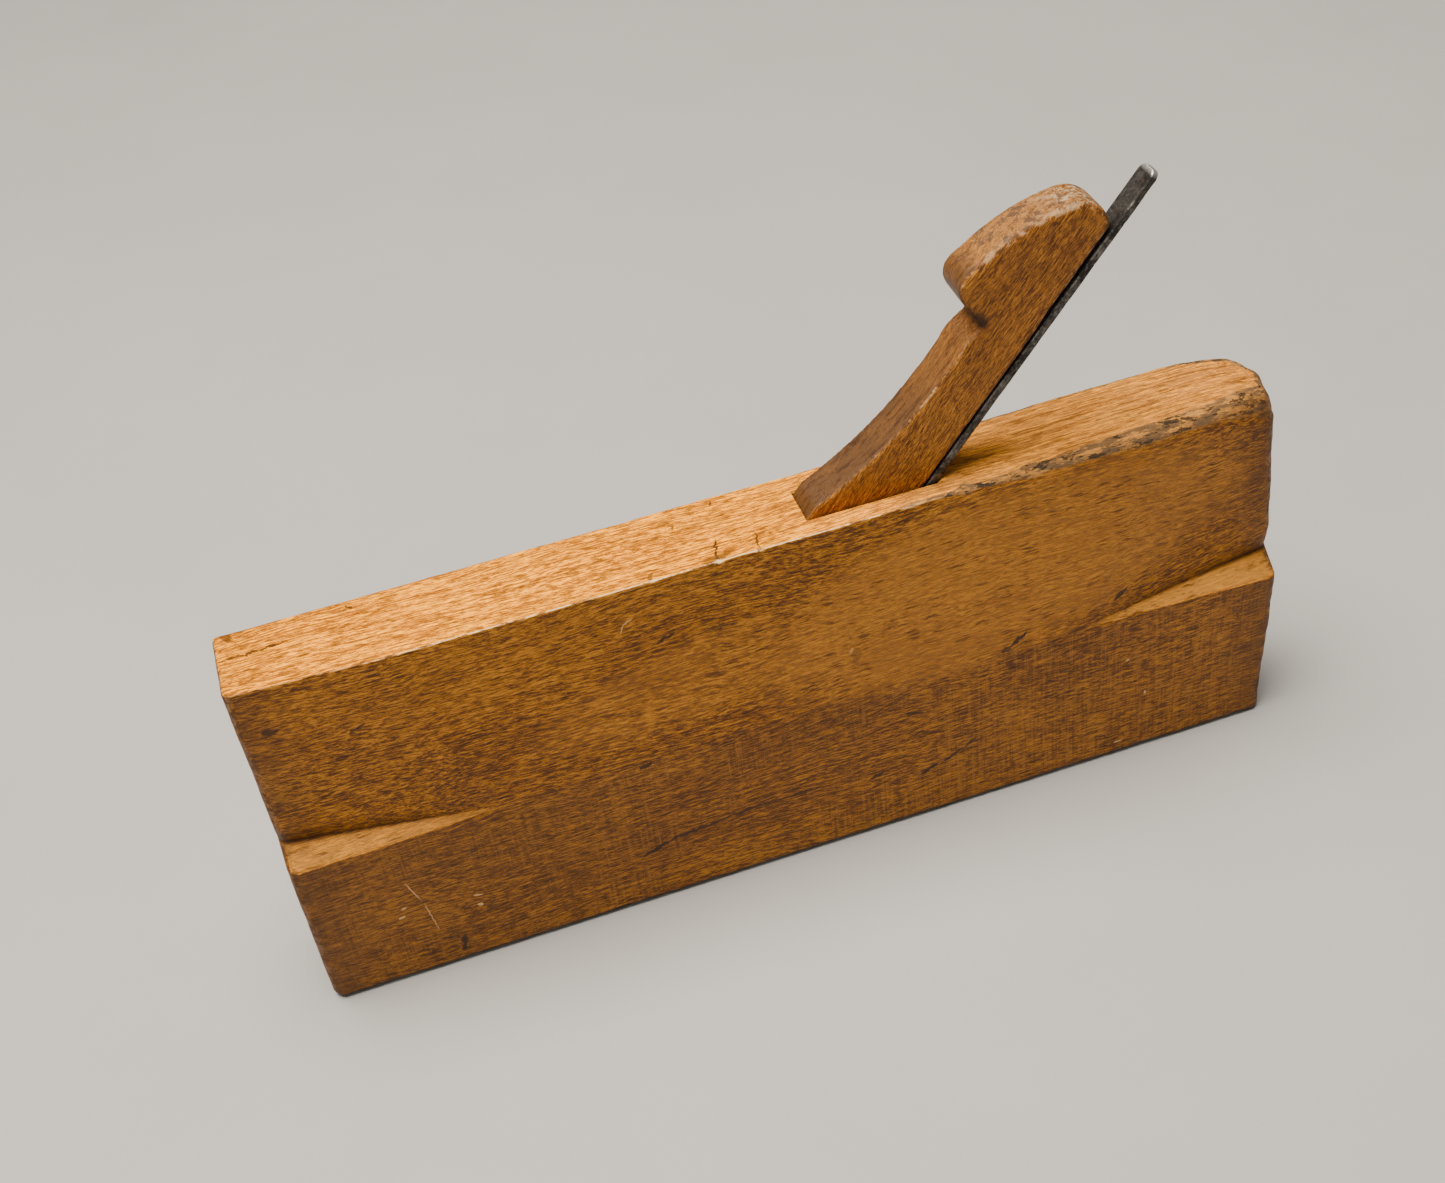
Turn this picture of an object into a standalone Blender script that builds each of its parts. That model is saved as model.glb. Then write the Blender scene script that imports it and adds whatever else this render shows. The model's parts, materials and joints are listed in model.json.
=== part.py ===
"""A wooden side-escapement moulding plane: a beech stock, a beech wedge and a tanged steel iron.

Metres, +Z up. The sole's two lands rest on z = 0, the toe points to -X, the heel to +X, the closed (blind)
side faces -Y and the side where the shavings leave faces +Y. The origin is the middle of the resting sole.
Lengths along the stock are given as stations from the toe, lengths across it from the blind side.
"""

import math

import bmesh
import bpy
from mathutils import Matrix, Vector

MM = 0.001

# Stock
LENGTH = 241 * MM
WIDTH = 25.2 * MM
HEIGHT = 95.7 * MM
LEAN_START = 47 * MM  # height above which the blind side is planed back
LEAN_DEPTH = 3.0 * MM  # how far back it is at the top
BOTTOM_EASE = 1.2 * MM  # bevel along the blind side's lower arris
FAR_EASE = 0.8 * MM
TOP_EASE = 0.5 * MM
TOE_FOOT_RADIUS = 2.0 * MM
HEEL_FOOT_RADIUS = 1.2 * MM
TOE_TOP_RADIUS = 1.2 * MM
CROWN_START = 224 * MM  # station where the top starts to fall away to the heel
CROWN_RADIUS = 60 * MM
HEEL_TOP_RADIUS = 3.5 * MM
WORN_START = 152 * MM  # station where the blind side's top arris starts to be worn away
WORN_WIDTH = 3.6 * MM  # what is worn off it at the heel, across and down
WORN_DROP = 4.5 * MM

# Hollow of the sole
HOLLOW_NEAR = 4.0 * MM
HOLLOW_FAR = 21.5 * MM
HOLLOW_RISE = 2.3 * MM

# Scoops cut into the blind side at both ends
SCOOP_LENGTH = 49 * MM
SCOOP_TIP_HEIGHT = 47 * MM
SCOOP_FOOT = 44.6 * MM
VALLEY_HEIGHT = 50 * MM
VALLEY_DEPTH = 6.0 * MM
VALLEY_WALL = 4 * MM  # height of the valley's upper wall, up to the sweep
CORNER_DEPTH = 5.0 * MM  # how far the end's arris stands back above the scoop
CORNER_LENGTH = 32 * MM  # over which that fades out

# Bed, mortise and throat
PITCH = math.radians(50.5)
WEDGE_ANGLE = math.radians(10.0)
BED_TOP = 160 * MM  # station where the bed meets the top
MORTISE_NEAR = 8.2 * MM
MORTISE_FAR = 18.8 * MM
MORTISE_FRONT = 128.8 * MM  # station of the mortise's front edge at the top
MORTISE_FLOOR = 20 * MM  # of its cutter above the sole along the bed, inside the throat
MORTISE_ABOVE = 35 * MM  # how far its cutter runs up past the top
CHEEK = 3.0 * MM  # thickness of the blind side's wall beside the blade
MOUTH_GAP = 5.7 * MM  # mouth opening along the sole, the iron's thickness included
EYE_RADIUS = 12 * MM  # round upper end of the side opening
EYE_DISTANCE = 52 * MM  # of its centre from the sole, along the bed
INNER_EYE_RADIUS = 3.2 * MM
EYE_TURN = (-90, 75)  # degrees of the eye's arc, from the bed round to the throat's front wall

# Iron
IRON_GAP = 0.15 * MM  # between the iron and its bed
TANG_NEAR = 8.6 * MM
TANG_WIDTH = 5.6 * MM
TANG_THICKNESS = 1.8 * MM
TANG_END = 79.7 * MM  # past the top of the bed
TANG_CORNER = 1.9 * MM
BLADE_NEAR = 3.5 * MM
BLADE_FAR = 24.7 * MM
BLADE_THICKNESS = 2.6 * MM  # at the cutting edge, tapering to the tang's end
SHOULDER = 44.5 * MM  # of the blade from the sole, along the bed
SHOULDER_RISE = 3.0 * MM
BEVEL_CLEARANCE = math.radians(20.5)
EDGE_LIFT = 0.35 * MM  # cutting edge above the sole

# Wedge
WEDGE_WIDTH = 10.2 * MM
FIT = 0.2 * MM  # between the wedge and what is round it
TIP = -98 * MM  # of the wedge, along the bed from its top
TIP_BEVEL = 14 * MM
TIP_THICKNESS = 1.5 * MM
THROW_BEVEL = 26 * MM  # length of the tip's bevel towards the open side
THROW_DEPTH = 6.5 * MM
WEDGE_REACH = 30 * MM  # more than its thickness anywhere

# Wedge's head, from its front to its back: millimetres along the bed from its top and forward of the bed
FRONT_ARC = ((-16.8, 23.9), (4, 17.6), (30, 16.1))
NOTCH = ((35.2, 14.7), (36, 17.8))
NOSE_ARC = ((37.8, 22.4), (40.9, 25.6), (45.4, 25.3))
CROWN_ARC = ((45.4, 25.3), (56.8, 20.9), (65.4, 14.8))
BACK_ARC = ((65.4, 14.8), (68.4, 8.6), (65.8, 2.65))

MARGIN = 1 * MM  # how far a small cutter stands out of what it cuts
SCOOP_MARGIN = 2 * MM
OVERCUT = 5 * MM  # how far large cutters run past the faces that they leave through
BED_LENGTH = HEIGHT / math.sin(PITCH)
BED_FOOT = BED_TOP - HEIGHT / math.tan(PITCH)


def clear_scene():
    for obj in list(bpy.data.objects):
        bpy.data.objects.remove(obj, do_unlink=True)


def new_collection(name):
    collection = bpy.data.collections.new(name)
    bpy.context.scene.collection.children.link(collection)
    return collection


def material(name, colour, roughness, metallic=0.0):
    made = bpy.data.materials.new(name)
    made.use_nodes = True
    shader = made.node_tree.nodes["Principled BSDF"]
    shader.inputs["Base Color"].default_value = (*colour, 1.0)
    shader.inputs["Roughness"].default_value = roughness
    shader.inputs["Metallic"].default_value = metallic
    return made


def frame_matrix(origin, first, second):
    """A frame whose X and Y run along two perpendicular directions of the model."""
    third = first.cross(second)
    matrix = Matrix((first, second, third)).transposed().to_4x4()
    matrix.translation = origin
    return matrix


def point(station, across, height):
    return Vector((station - LENGTH / 2, across - WIDTH / 2, height))


ALONG = Vector((1, 0, 0))
ACROSS = Vector((0, 1, 0))
UP = Vector((0, 0, 1))
BED = Vector((math.cos(PITCH), 0, math.sin(PITCH)))
BED_NORMAL = Vector((-math.sin(PITCH), 0, math.cos(PITCH)))


def side_plane(low, high):
    """Frame of an outline (station, height), halfway between two distances across the stock."""
    return frame_matrix(point(0, (low + high) / 2, 0), ALONG, UP)


def section_plane(low, high):
    """Frame of an outline (across, height), halfway between two stations."""
    return frame_matrix(point((low + high) / 2, 0, 0), ACROSS, UP)


def bed_side_plane(low, high):
    """Frame of an outline (along the bed from its top, forward of the bed)."""
    return frame_matrix(point(BED_TOP, (low + high) / 2, HEIGHT), BED, BED_NORMAL)


def bed_front_plane(low, high):
    """Frame of an outline (along the bed from its top, across), between two distances forward of the bed."""
    return frame_matrix(point(BED_TOP, 0, HEIGHT) + BED_NORMAL * (low + high) / 2, BED, ACROSS)


def arc(centre, radius, start, end, steps=8):
    """Points of a circular arc, with its angles in degrees."""
    angles = [math.radians(start + (end - start) * i / steps) for i in range(steps + 1)]
    return [(centre[0] + radius * math.cos(a), centre[1] + radius * math.sin(a)) for a in angles]


def arc_through(first, middle, last, steps=8):
    """Points of the circular arc from first through middle to last."""
    (ax, ay), (bx, by), (cx, cy) = first, middle, last
    d = 2 * (ax * (by - cy) + bx * (cy - ay) + cx * (ay - by))
    a, b, c = ax * ax + ay * ay, bx * bx + by * by, cx * cx + cy * cy
    x = (a * (by - cy) + b * (cy - ay) + c * (ay - by)) / d
    y = (a * (cx - bx) + b * (ax - cx) + c * (bx - ax)) / d
    start = math.atan2(ay - y, ax - x)
    through = (math.atan2(by - y, bx - x) - start) % math.tau
    turn = (math.atan2(cy - y, cx - x) - start) % math.tau
    if through > turn:
        turn -= math.tau
    return arc((x, y), math.hypot(ax - x, ay - y), math.degrees(start), math.degrees(start + turn), steps)


def extrusion(name, outline, plane, low, high, collection):
    """A flat outline, filled and given its thickness between low and high, as a mesh object."""
    curve = bpy.data.curves.new(name, "CURVE")
    curve.dimensions = "2D"
    curve.fill_mode = "BOTH"
    curve.extrude = (high - low) / 2
    spline = curve.splines.new("POLY")
    spline.points.add(len(outline) - 1)
    for spot, (a, b) in zip(spline.points, outline):
        spot.co = (a, b, 0, 1)
    spline.use_cyclic_u = True
    drawn = bpy.data.objects.new(name + "_curve", curve)
    collection.objects.link(drawn)
    drawn.matrix_world = plane(low, high)
    bpy.context.view_layer.update()
    mesh = bpy.data.meshes.new_from_object(drawn.evaluated_get(bpy.context.evaluated_depsgraph_get()))
    mesh.name = name
    bm = bmesh.new()
    bm.from_mesh(mesh)
    bmesh.ops.remove_doubles(bm, verts=bm.verts, dist=0.001 * MM)
    bmesh.ops.recalc_face_normals(bm, faces=bm.faces)
    bm.to_mesh(mesh)
    bm.free()
    solid = bpy.data.objects.new(name, mesh)
    collection.objects.link(solid)
    solid.matrix_world = drawn.matrix_world
    bpy.data.objects.remove(drawn, do_unlink=True)
    return solid


def hull(name, points, collection):
    """The convex solid round some points."""
    bm = bmesh.new()
    for spot in points:
        bm.verts.new(spot)
    bmesh.ops.convex_hull(bm, input=bm.verts)
    bmesh.ops.recalc_face_normals(bm, faces=bm.faces)
    mesh = bpy.data.meshes.new(name)
    bm.to_mesh(mesh)
    bm.free()
    solid = bpy.data.objects.new(name, mesh)
    collection.objects.link(solid)
    return solid


def boolean(obj, operation, tool):
    tool.hide_render = True
    tool.display_type = "WIRE"
    modifier = obj.modifiers.new(tool.name, "BOOLEAN")
    modifier.operation = operation
    modifier.solver = "EXACT"
    modifier.object = tool


def iron_face(along):
    """Distance of the iron's front face forward of the bed, at a distance along the bed from its top."""
    share = (along + BED_LENGTH) / (TANG_END + BED_LENGTH)
    return IRON_GAP + BLADE_THICKNESS + (TANG_THICKNESS - BLADE_THICKNESS) * share


def front_wall(along):
    """Distance of the mortise's front wall forward of the bed, at a distance along the bed from its top."""
    edge = (BED_TOP - MORTISE_FRONT) * math.sin(PITCH)
    edge_along = -(BED_TOP - MORTISE_FRONT) * math.cos(PITCH)
    return edge + math.tan(WEDGE_ANGLE) * (along - edge_along)


def lean(height):
    """How far the blind side stands back at a height."""
    return max(0.0, (height - LEAN_START) / (HEIGHT - LEAN_START)) * LEAN_DEPTH


def hollow(scale=1.0):
    """The hollow of the sole as an arc from its near to its far side, (across, height)."""
    middle = (HOLLOW_NEAR + HOLLOW_FAR) / 2
    return arc_through((HOLLOW_NEAR, 0), (middle, HOLLOW_RISE * scale), (HOLLOW_FAR, 0), steps=20)


def stock_section():
    """The stock's section (across, height), with the hollow sole and the blind side planed back."""
    return [
        (BOTTOM_EASE, 0),
        *hollow(),
        (WIDTH - FAR_EASE, 0),
        (WIDTH, FAR_EASE),
        (WIDTH, HEIGHT - FAR_EASE),
        (WIDTH - FAR_EASE, HEIGHT),
        (LEAN_DEPTH + TOP_EASE, HEIGHT),
        (lean(HEIGHT - TOP_EASE), HEIGHT - TOP_EASE),
        (0, LEAN_START),
        (0, BOTTOM_EASE),
    ]


def stock_side():
    """The stock's side view (station, height): eased corners and a heel that falls away at the top."""
    toe, foot, heel, cap = TOE_TOP_RADIUS, TOE_FOOT_RADIUS, HEEL_FOOT_RADIUS, HEEL_TOP_RADIUS
    crown = (CROWN_START, HEIGHT - CROWN_RADIUS)
    reach = LENGTH - cap - CROWN_START
    rise = math.sqrt((CROWN_RADIUS - cap) ** 2 - reach**2)
    meet = math.degrees(math.atan2(rise, reach))
    return [
        *arc((foot, foot), foot, 180, 270, steps=5),
        *arc((LENGTH - heel, heel), heel, 270, 360, steps=4),
        *arc((LENGTH - cap, crown[1] + rise), cap, 0, meet, steps=6),
        *arc(crown, CROWN_RADIUS, meet, 90, steps=6)[1:],
        *arc((toe, HEIGHT - toe), toe, 90, 180, steps=4),
    ]


def scoop_cutters(name, end, inward, collection):
    """The V scoop at one end of the blind side, and the shallow sweep above it up to the top."""

    def spot(distance, across, height):
        return point(end + inward * distance, across, height)

    out = -SCOOP_MARGIN
    roof = VALLEY_HEIGHT + VALLEY_WALL
    above = HEIGHT + OVERCUT
    tip = spot(SCOOP_LENGTH, 0, SCOOP_TIP_HEIGHT)
    before_tip = spot(SCOOP_LENGTH, out, SCOOP_TIP_HEIGHT)
    v_groove = [
        tip,
        before_tip,
        spot(out, 0, SCOOP_FOOT),
        spot(out, VALLEY_DEPTH, VALLEY_HEIGHT),
        spot(out, CORNER_DEPTH, roof),
        spot(out, out, SCOOP_FOOT + out),
        spot(out, out, roof),
    ]
    sweep = [tip, before_tip]
    for across, height in ((VALLEY_DEPTH, VALLEY_HEIGHT), (CORNER_DEPTH, roof), (CORNER_DEPTH, above)):
        sweep += [spot(out, across, height), spot(out, out, height)]
    sweep += [spot(CORNER_LENGTH, lean(above), above), spot(CORNER_LENGTH, out, above)]
    return [hull(name + "_groove", v_groove, collection), hull(name + "_sweep", sweep, collection)]


def worn_arris(collection):
    """A long taper taken off the blind side's top arris, deepest at the heel."""
    top = HEIGHT + MARGIN
    low = HEIGHT - WORN_DROP
    end = LENGTH + MARGIN
    section = [(LEAN_DEPTH + WORN_WIDTH, top), (lean(low), low), (0, low), (0, top)]
    spots = [point(WORN_START, lean(HEIGHT), HEIGHT), point(WORN_START, 0, top)]
    spots += [point(end, across, height) for across, height in section]
    return hull("worn_arris", spots, collection)


def mortise_outline():
    """The tapered mortise (along the bed, forward of it), from above the top down into the throat."""
    low, high = -BED_LENGTH + MORTISE_FLOOR, MORTISE_ABOVE
    return [(low, 0), (high, 0), (high, front_wall(high)), (low, front_wall(low))]


def throat_points(across, radius, mouth):
    """One wall-to-wall slice of the throat: along the bed, round the eye and down to the mouth."""
    eye = (-BED_LENGTH + EYE_DISTANCE, radius)
    below = -BED_LENGTH - OVERCUT
    outline = [(below, 0), *arc(eye, radius, *EYE_TURN, steps=12), (below, mouth)]
    plane = bed_side_plane(across, across)
    return [plane @ Vector((a, b, 0)) for a, b in outline]


def build_stock(parts, cutters):
    stock = extrusion("stock", stock_section(), section_plane, 0, LENGTH, parts)
    stock.data.materials.append(material("beech_stock", (0.36, 0.17, 0.055), 0.48))
    side = extrusion("stock_side_view", stock_side(), side_plane, -OVERCUT, WIDTH + OVERCUT, cutters)
    boolean(stock, "INTERSECT", side)
    for name, end, inward in (("toe_scoop", 0, 1), ("heel_scoop", LENGTH, -1)):
        for cutter in scoop_cutters(name, end, inward, cutters):
            boolean(stock, "DIFFERENCE", cutter)
    boolean(stock, "DIFFERENCE", worn_arris(cutters))
    mortise = extrusion("mortise", mortise_outline(), bed_side_plane, MORTISE_NEAR, MORTISE_FAR, cutters)
    boolean(stock, "DIFFERENCE", mortise)
    mouth = MOUTH_GAP * math.sin(PITCH)
    inner = throat_points(CHEEK, INNER_EYE_RADIUS, mouth)
    outer = throat_points(WIDTH + MARGIN, EYE_RADIUS, mouth)
    boolean(stock, "DIFFERENCE", hull("throat", inner + outer, cutters))
    return stock


def scaled(points):
    return [(a * MM, b * MM) for a, b in points]


def wedge_outline():
    """The wedge's side view (along the bed, forward of it): the bevelled tip, the long front and the head."""
    bevel = TIP + TIP_BEVEL
    chin = -(BED_TOP - MORTISE_FRONT) * math.cos(PITCH)
    back_of_tip = iron_face(TIP) + FIT
    return [
        (TIP, back_of_tip),
        (TIP, back_of_tip + TIP_THICKNESS),
        (bevel, front_wall(bevel) - FIT),
        (chin, front_wall(chin) - FIT),
        *arc_through(*scaled(FRONT_ARC), steps=10),
        *scaled(NOTCH),
        *arc_through(*scaled(NOSE_ARC), steps=7),
        *arc_through(*scaled(CROWN_ARC), steps=5)[1:],
        *arc_through(*scaled(BACK_ARC), steps=7)[1:],
    ]


def build_wedge(parts, cutters):
    near = (MORTISE_NEAR + MORTISE_FAR - WEDGE_WIDTH) / 2
    far = near + WEDGE_WIDTH
    wedge = extrusion("wedge", wedge_outline(), bed_side_plane, near, far, parts)
    wedge.data.materials.append(material("beech_wedge", (0.33, 0.15, 0.05), 0.5))
    start, end = TIP - MARGIN, TIP + THROW_BEVEL
    throw = [(start, far - THROW_DEPTH), (end, far), (end, far + MARGIN), (start, far + MARGIN)]
    cutter = extrusion("wedge_throw", throw, bed_front_plane, 0, WEDGE_REACH, cutters)
    boolean(wedge, "DIFFERENCE", cutter)
    return wedge


def build_iron(parts, cutters):
    foot = -BED_LENGTH - OVERCUT
    shoulder = -BED_LENGTH + SHOULDER
    tang_far = TANG_NEAR + TANG_WIDTH
    corner = TANG_CORNER
    thickness = [
        (foot, IRON_GAP),
        (TANG_END, IRON_GAP),
        (TANG_END, iron_face(TANG_END)),
        (foot, iron_face(foot)),
    ]
    iron = extrusion("iron", thickness, bed_side_plane, 0, WIDTH, parts)
    iron.data.materials.append(material("forged_steel", (0.13, 0.125, 0.12), 0.45, 1.0))
    outline = [
        (foot, BLADE_NEAR),
        (foot, BLADE_FAR),
        (shoulder - SHOULDER_RISE, BLADE_FAR),
        (shoulder, BLADE_FAR - SHOULDER_RISE),
        (shoulder, tang_far + SHOULDER_RISE),
        (shoulder + SHOULDER_RISE, tang_far),
        *reversed(arc((TANG_END - corner, tang_far - corner), corner, 0, 90, steps=5)),
        *reversed(arc((TANG_END - corner, TANG_NEAR + corner), corner, 270, 360, steps=5)),
        (shoulder, TANG_NEAR),
        (shoulder, BLADE_NEAR + SHOULDER_RISE),
        (shoulder - SHOULDER_RISE, BLADE_NEAR),
    ]
    face_on = extrusion("iron_outline", outline, bed_front_plane, -OVERCUT, 2 * OVERCUT, cutters)
    boolean(iron, "INTERSECT", face_on)
    boolean(iron, "DIFFERENCE", bevel_cutter(cutters))
    return iron


def bevel_cutter(cutters):
    """What grinding takes off the blade: the sole's profile, run up behind the edge at the clearance angle.

    The slope of the grind lifts the profile where it meets the blade's face, so its rise is made smaller.
    """
    slope = math.tan(BEVEL_CLEARANCE)
    rise = 1 - slope / math.tan(PITCH)
    near, far, below = -OVERCUT, WIDTH + OVERCUT, -3 * OVERCUT
    profile = [(near, below), (near, 0), *hollow(rise), (far, 0), (far, below)]
    edge = BED_FOOT - (IRON_GAP + BLADE_THICKNESS) / math.sin(PITCH) + EDGE_LIFT / math.tan(PITCH)
    cutter = extrusion("iron_grind", profile, section_plane, edge - 3 * OVERCUT, edge + 4 * OVERCUT, cutters)
    shear = Matrix.Identity(4)
    shear[2][0] = slope
    shear[2][3] = EDGE_LIFT - slope * (edge - LENGTH / 2)
    cutter.data.transform(shear @ cutter.matrix_world)
    cutter.matrix_world = Matrix.Identity(4)
    return cutter


def main():
    clear_scene()
    parts = new_collection("moulding_plane")
    cutters = new_collection("moulding_plane_cutters")
    build_stock(parts, cutters)
    build_wedge(parts, cutters)
    build_iron(parts, cutters)


main()
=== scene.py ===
"""The looks of a wooden moulding plane: worn beech stock and wedge, forged iron, pale floor and soft light.

Sizes are millimetres unless a comment says otherwise. Stations run along the stock from the toe, across
values from the closed side and heights from the sole. Distances along the bed start where it meets the top.
"""

import json
import math

import bmesh
import bpy
import numpy as np
from mathutils import Matrix, Vector, noise


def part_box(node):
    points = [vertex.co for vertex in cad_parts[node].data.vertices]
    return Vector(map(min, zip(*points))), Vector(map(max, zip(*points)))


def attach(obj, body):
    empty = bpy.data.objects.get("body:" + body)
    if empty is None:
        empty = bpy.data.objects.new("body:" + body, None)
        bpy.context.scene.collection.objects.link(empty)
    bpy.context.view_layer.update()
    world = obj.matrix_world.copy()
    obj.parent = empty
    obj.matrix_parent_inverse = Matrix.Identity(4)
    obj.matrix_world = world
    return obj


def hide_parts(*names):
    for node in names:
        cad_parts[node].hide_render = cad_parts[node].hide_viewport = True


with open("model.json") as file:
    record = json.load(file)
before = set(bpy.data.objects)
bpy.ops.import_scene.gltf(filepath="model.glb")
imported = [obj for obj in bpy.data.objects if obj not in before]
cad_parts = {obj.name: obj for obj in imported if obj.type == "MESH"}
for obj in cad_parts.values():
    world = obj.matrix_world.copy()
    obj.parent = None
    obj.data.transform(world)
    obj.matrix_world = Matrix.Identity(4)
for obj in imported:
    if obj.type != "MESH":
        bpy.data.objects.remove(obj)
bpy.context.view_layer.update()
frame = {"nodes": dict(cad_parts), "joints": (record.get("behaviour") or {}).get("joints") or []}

MM = 0.001
STOCK_LOW, STOCK_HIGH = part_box("stock")
LENGTH, WIDTH, HEIGHT = (STOCK_HIGH - STOCK_LOW) / MM

# Arris radii of the stock, named by the two faces that meet
ARRISES = {
    ("toe", "near"): 2.6,
    ("toe", "far"): 1.8,
    ("heel", "near"): 2.6,
    ("heel", "far"): 2.4,
    ("toe", "sole"): 2.0,
    ("heel", "sole"): 1.3,
    ("toe", "top"): 1.1,
    ("heel", "top"): 1.6,
    ("near", "sole"): 2.0,
    ("far", "sole"): 0.9,
    ("near", "top"): 0.5,
    ("far", "top"): 0.9,
}
THUMB_START = 146.0  # station where hands have started to round the near top arris
HEEL_START = 221.0  # station where that arris starts to run into the heel's rounded corner
THUMB_RADIUS = 3.4  # added to that arris between the two
NEAR_CORNER = np.array((1.8, 2.6, 5.0))  # added along, across and down at the heel's near top corner
FAR_CORNER = np.array((4.5, 4.5, 2.5))  # and at its far one
# Dents in the near top arris: station, length, depth
NICKS = [(92, 1.2, 0.7), (107, 0.9, 1.5), (116, 0.8, 1.1), (151, 1.6, 0.8), (164, 1.5, 1.6), (180, 2.2, 1.1)]

LEAN_START = 47.0  # height where the near side starts to lean back
LEAN_DEPTH = 3.0  # how far back it is at the top
SCOOP_LENGTH = 49.0  # of the V cut that the near side has at each end
SCOOP_TIP = 46.8  # height of its tip
TIP_GAP = 0.8  # between the foot and the valley there
SCOOP_FOOT = 44.6  # height of its lower edge at the end of the stock
VALLEY_HEIGHT = 50.0  # height of its deepest line there
VALLEY_EXTRA = 1.0  # how much deeper the valley is than the side above it
VALLEY_FADE = 4.0  # height over which that extra depth runs out
CORNER_DEPTH = 5.0  # how far the side above the valley stands back at the end
CORNER_LENGTH = 32.0  # how far along the top that sweep reaches

HOLLOW_NEAR = 4.0  # the hollow in the sole, across
HOLLOW_FAR = 21.5
HOLLOW_RISE = 2.3
HOLLOW_FADE = 14.0  # height above which the stock no longer follows it
HEEL_SWELL = 1.4  # how far the heel leans out above its foot
CROWN_START = 226.0  # station where the top starts to curve down to the heel
CROWN_RADIUS = 55.0

BED_TOP = 160.0  # station where the bed meets the top
MORTISE_NEAR = 8.2
MORTISE_FAR = 18.8
MORTISE_FRONT = 128.8  # station of the mortise's front edge in the top
MORTISE_FLOOR = 20.0  # along the bed from the sole
MORTISE_ABOVE = 35.0  # how far along the bed its cutter reaches above the top
MORTISE_EASE = 0.55  # depth of the worn bevel round its mouth
MORTISE_EASE_OUT = 1.4  # how far up and out the bevel's cutter reaches
CHEEK = 3.0  # wood between the closed side and the throat
MOUTH_GAP = 5.7
EYE_RADIUS = 12.0  # the throat's round end, at the open side
EYE_DISTANCE = 52.0  # along the bed from the sole
EYE_TURN = (-90, 75)  # degrees that its arc starts and ends at, from the bed's direction
INNER_EYE_RADIUS = 3.2  # and at the cheek
THROAT_EASE = 0.5  # depth of the worn bevel round the throat
THROAT_BELOW = 5.0  # how far along the bed its cutters reach below the sole
PAST = 1.0  # and out of the far side
WEDGE_ANGLE = math.radians(10.0)

BED = Vector(next(j["axis"] for j in frame["joints"] if j["name"] == "wedge_slide")).normalized()
BED_NORMAL = Vector((-BED.z, 0, BED.x))
PITCH = math.atan2(BED.z, BED.x)
BED_LENGTH = HEIGHT / math.sin(PITCH)


# ---------------------------------------------------------------- helpers

def smooth(value, low, high):
    """0 below low, 1 above high and an S curve between, for numbers and arrays."""
    share = np.clip((value - low) / (high - low), 0, 1)
    return share * share * (3 - 2 * share)


def waves(points, size, seed):
    """Smooth noise between about -1 and 1 at each point (mm), with features of about one size (mm)."""
    shift = Vector((seed * 17.3, seed * 5.1, -seed * 9.7))
    return np.array([noise.noise(Vector(p) / size + shift) for p in points])


def drift(points, size, seed):
    """The same for displacements: one wave for each axis."""
    return np.stack([waves(points, size, seed + k) for k in range(3)], axis=1)


def new_object(name, data):
    made = bpy.data.objects.new(name, data)
    bpy.context.scene.collection.objects.link(made)
    return made


def evaluated(obj):
    """The object's mesh with its modifiers applied."""
    bpy.context.view_layer.update()
    graph = bpy.context.evaluated_depsgraph_get()
    return bpy.data.meshes.new_from_object(obj.evaluated_get(graph))


def coordinates(mesh):
    flat = np.empty(len(mesh.vertices) * 3, np.float32)
    mesh.vertices.foreach_get("co", flat)
    return flat.reshape(-1, 3).astype(float)


def vertex_normals(mesh):
    flat = np.empty(len(mesh.vertices) * 3, np.float32)
    mesh.vertices.foreach_get("normal", flat)
    return flat.reshape(-1, 3).astype(float)


def set_coordinates(mesh, points):
    mesh.vertices.foreach_set("co", points.astype(np.float32).ravel())
    mesh.update()


def add_attribute(mesh, name, values):
    layer = mesh.attributes.new(name, "FLOAT", "POINT")
    layer.data.foreach_set("value", np.asarray(values, np.float32))


def to_row(points):
    """Points in stations, across and height (mm), as metres in the row frame."""
    return points * MM + np.array((STOCK_LOW.x, STOCK_LOW.y, 0.0))


def hull(name, points):
    """A convex solid round the points (m)."""
    bm = bmesh.new()
    for spot in points:
        bm.verts.new(spot)
    bmesh.ops.convex_hull(bm, input=bm.verts)
    bmesh.ops.recalc_face_normals(bm, faces=bm.faces)
    mesh = bpy.data.meshes.new(name)
    bm.to_mesh(mesh)
    bm.free()
    return new_object(name, mesh)


# ---------------------------------------------------------------- stock

CELL = 0.9  # between lattice lines across and up
LONG_CELL = 0.95  # and along
SCOOP_LINES = 8  # from a scoop's foot to its valley
ARRIS_LINES = np.array((0, 0.12, 0.3, 0.55, 0.85, 1.2, 1.6, 2.1, 2.7, 3.4, 4.2))  # from an arris inwards


def lines(low, high, spacing, fine_low=False, fine_high=False):
    """Lattice lines from low to high, closer together where an arris is rounded."""
    start = low + (ARRIS_LINES[-1] if fine_low else 0)
    stop = high - (ARRIS_LINES[-1] if fine_high else 0)
    parts = [np.linspace(start, stop, math.ceil((stop - start) / spacing) + 1)]
    if fine_low:
        parts.insert(0, low + ARRIS_LINES[:-1])
    if fine_high:
        parts.append(high - ARRIS_LINES[-2::-1])
    return np.concatenate(parts)


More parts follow.
